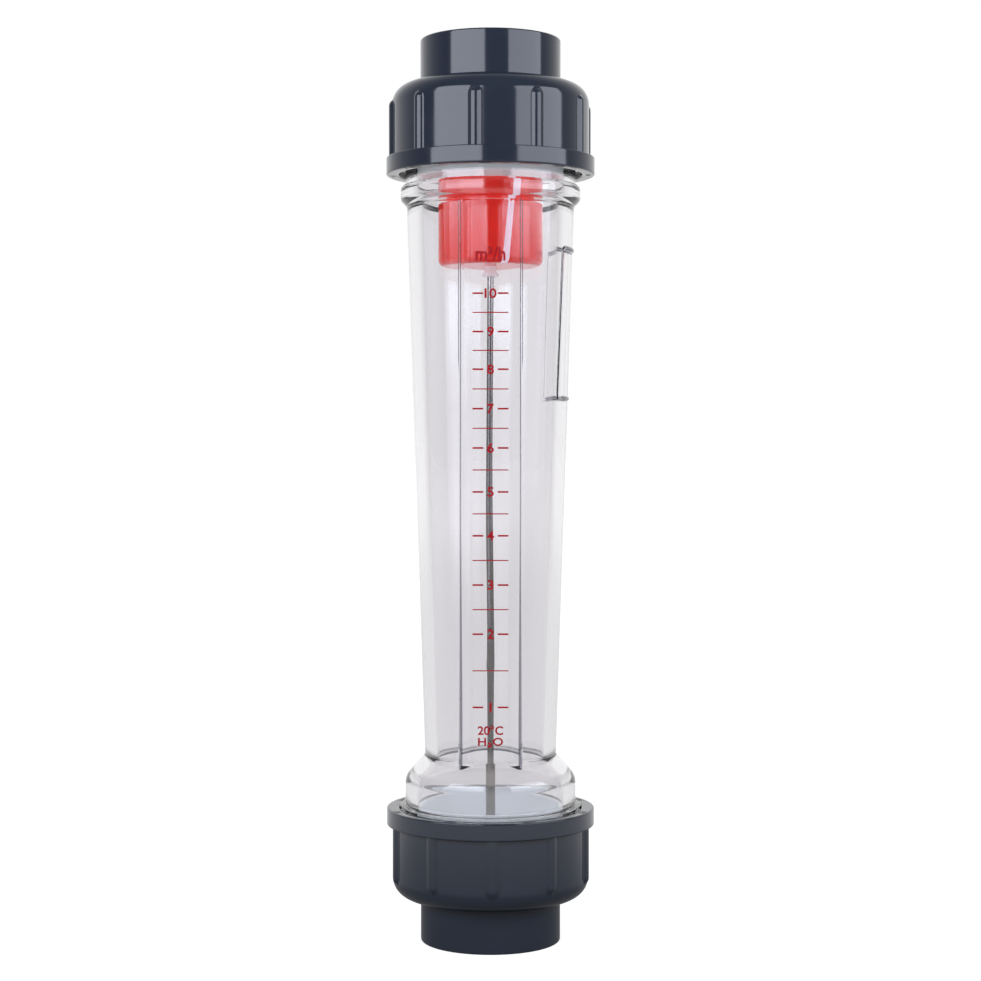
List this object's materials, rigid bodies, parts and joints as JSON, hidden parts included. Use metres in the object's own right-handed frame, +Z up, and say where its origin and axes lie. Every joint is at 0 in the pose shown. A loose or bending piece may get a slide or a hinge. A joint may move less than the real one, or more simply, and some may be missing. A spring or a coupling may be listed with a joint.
{
  "type": "rotameter",
  "caption": "Variable-area flow meter: a clear tapered tube with a printed scale, a red float on a guide rod, and a socket union with a ribbed nut at each end.",
  "frame": {"origin": "centre of the lower socket's rim, on the flow axis", "axes": "+Z up along the flow axis, -Y towards the printed scale, +X towards the moulded type plate"},
  "size_m": [0.11, 0.11, 0.476],
  "materials": {
    "clear_plastic": "clear",
    "dark_plastic": "gloss",
    "red_plastic": "gloss",
    "white_plastic": "satin",
    "stainless": "ground",
    "rubber": "matte"
  },
  "bodies": {
    "tube": {"measuring_tube": "clear_plastic", "guide_rod": "stainless", "lower_rod_guide": "white_plastic", "upper_rod_guide": "white_plastic", "lower_rod_washer": "stainless", "upper_rod_washer": "stainless", "lower_rod_nut": "stainless", "upper_rod_nut": "stainless", "lower_float_buffer": "rubber", "upper_stop_sleeve": "white_plastic"},
    "float": {"float_body": "red_plastic", "float_head": "red_plastic", "float_core": "stainless", "lower_float_bush": "white_plastic", "upper_float_bush": "white_plastic"},
    "lower_tailpiece": {"lower_tailpiece": "dark_plastic", "lower_o_ring": "rubber"},
    "lower_nut": {"lower_union_nut": "dark_plastic"},
    "upper_tailpiece": {"upper_tailpiece": "dark_plastic", "upper_o_ring": "rubber"},
    "upper_nut": {"upper_union_nut": "dark_plastic"}
  },
  "joints": [
    {"name": "float_slide", "type": "slide", "parent": "tube", "child": "float", "axis": [0, 0, 1], "range_m": [-0.2995, 0]},
    {"name": "lower_union_slide", "type": "slide", "parent": "tube", "child": "lower_tailpiece", "axis": [0, 0, -1], "range_m": [0, 0.028]},
    {"name": "lower_nut_turn", "type": "hinge", "parent": "lower_tailpiece", "child": "lower_nut", "pos_m": [0, 0, 0.047], "axis": [0, 0, -1], "range_deg": [0, 2520]},
    {"name": "upper_union_slide", "type": "slide", "parent": "tube", "child": "upper_tailpiece", "axis": [0, 0, 1], "range_m": [0, 0.028]},
    {"name": "upper_nut_turn", "type": "hinge", "parent": "upper_tailpiece", "child": "upper_nut", "pos_m": [0, 0, 0.429], "axis": [0, 0, 1], "range_deg": [0, 2520]}
  ],
  "couplings": [
    {"joint": "lower_union_slide", "follows": "lower_nut_turn", "m_per_rad": 0.0006366},
    {"joint": "upper_union_slide", "follows": "upper_nut_turn", "m_per_rad": 0.0006366}
  ]
}
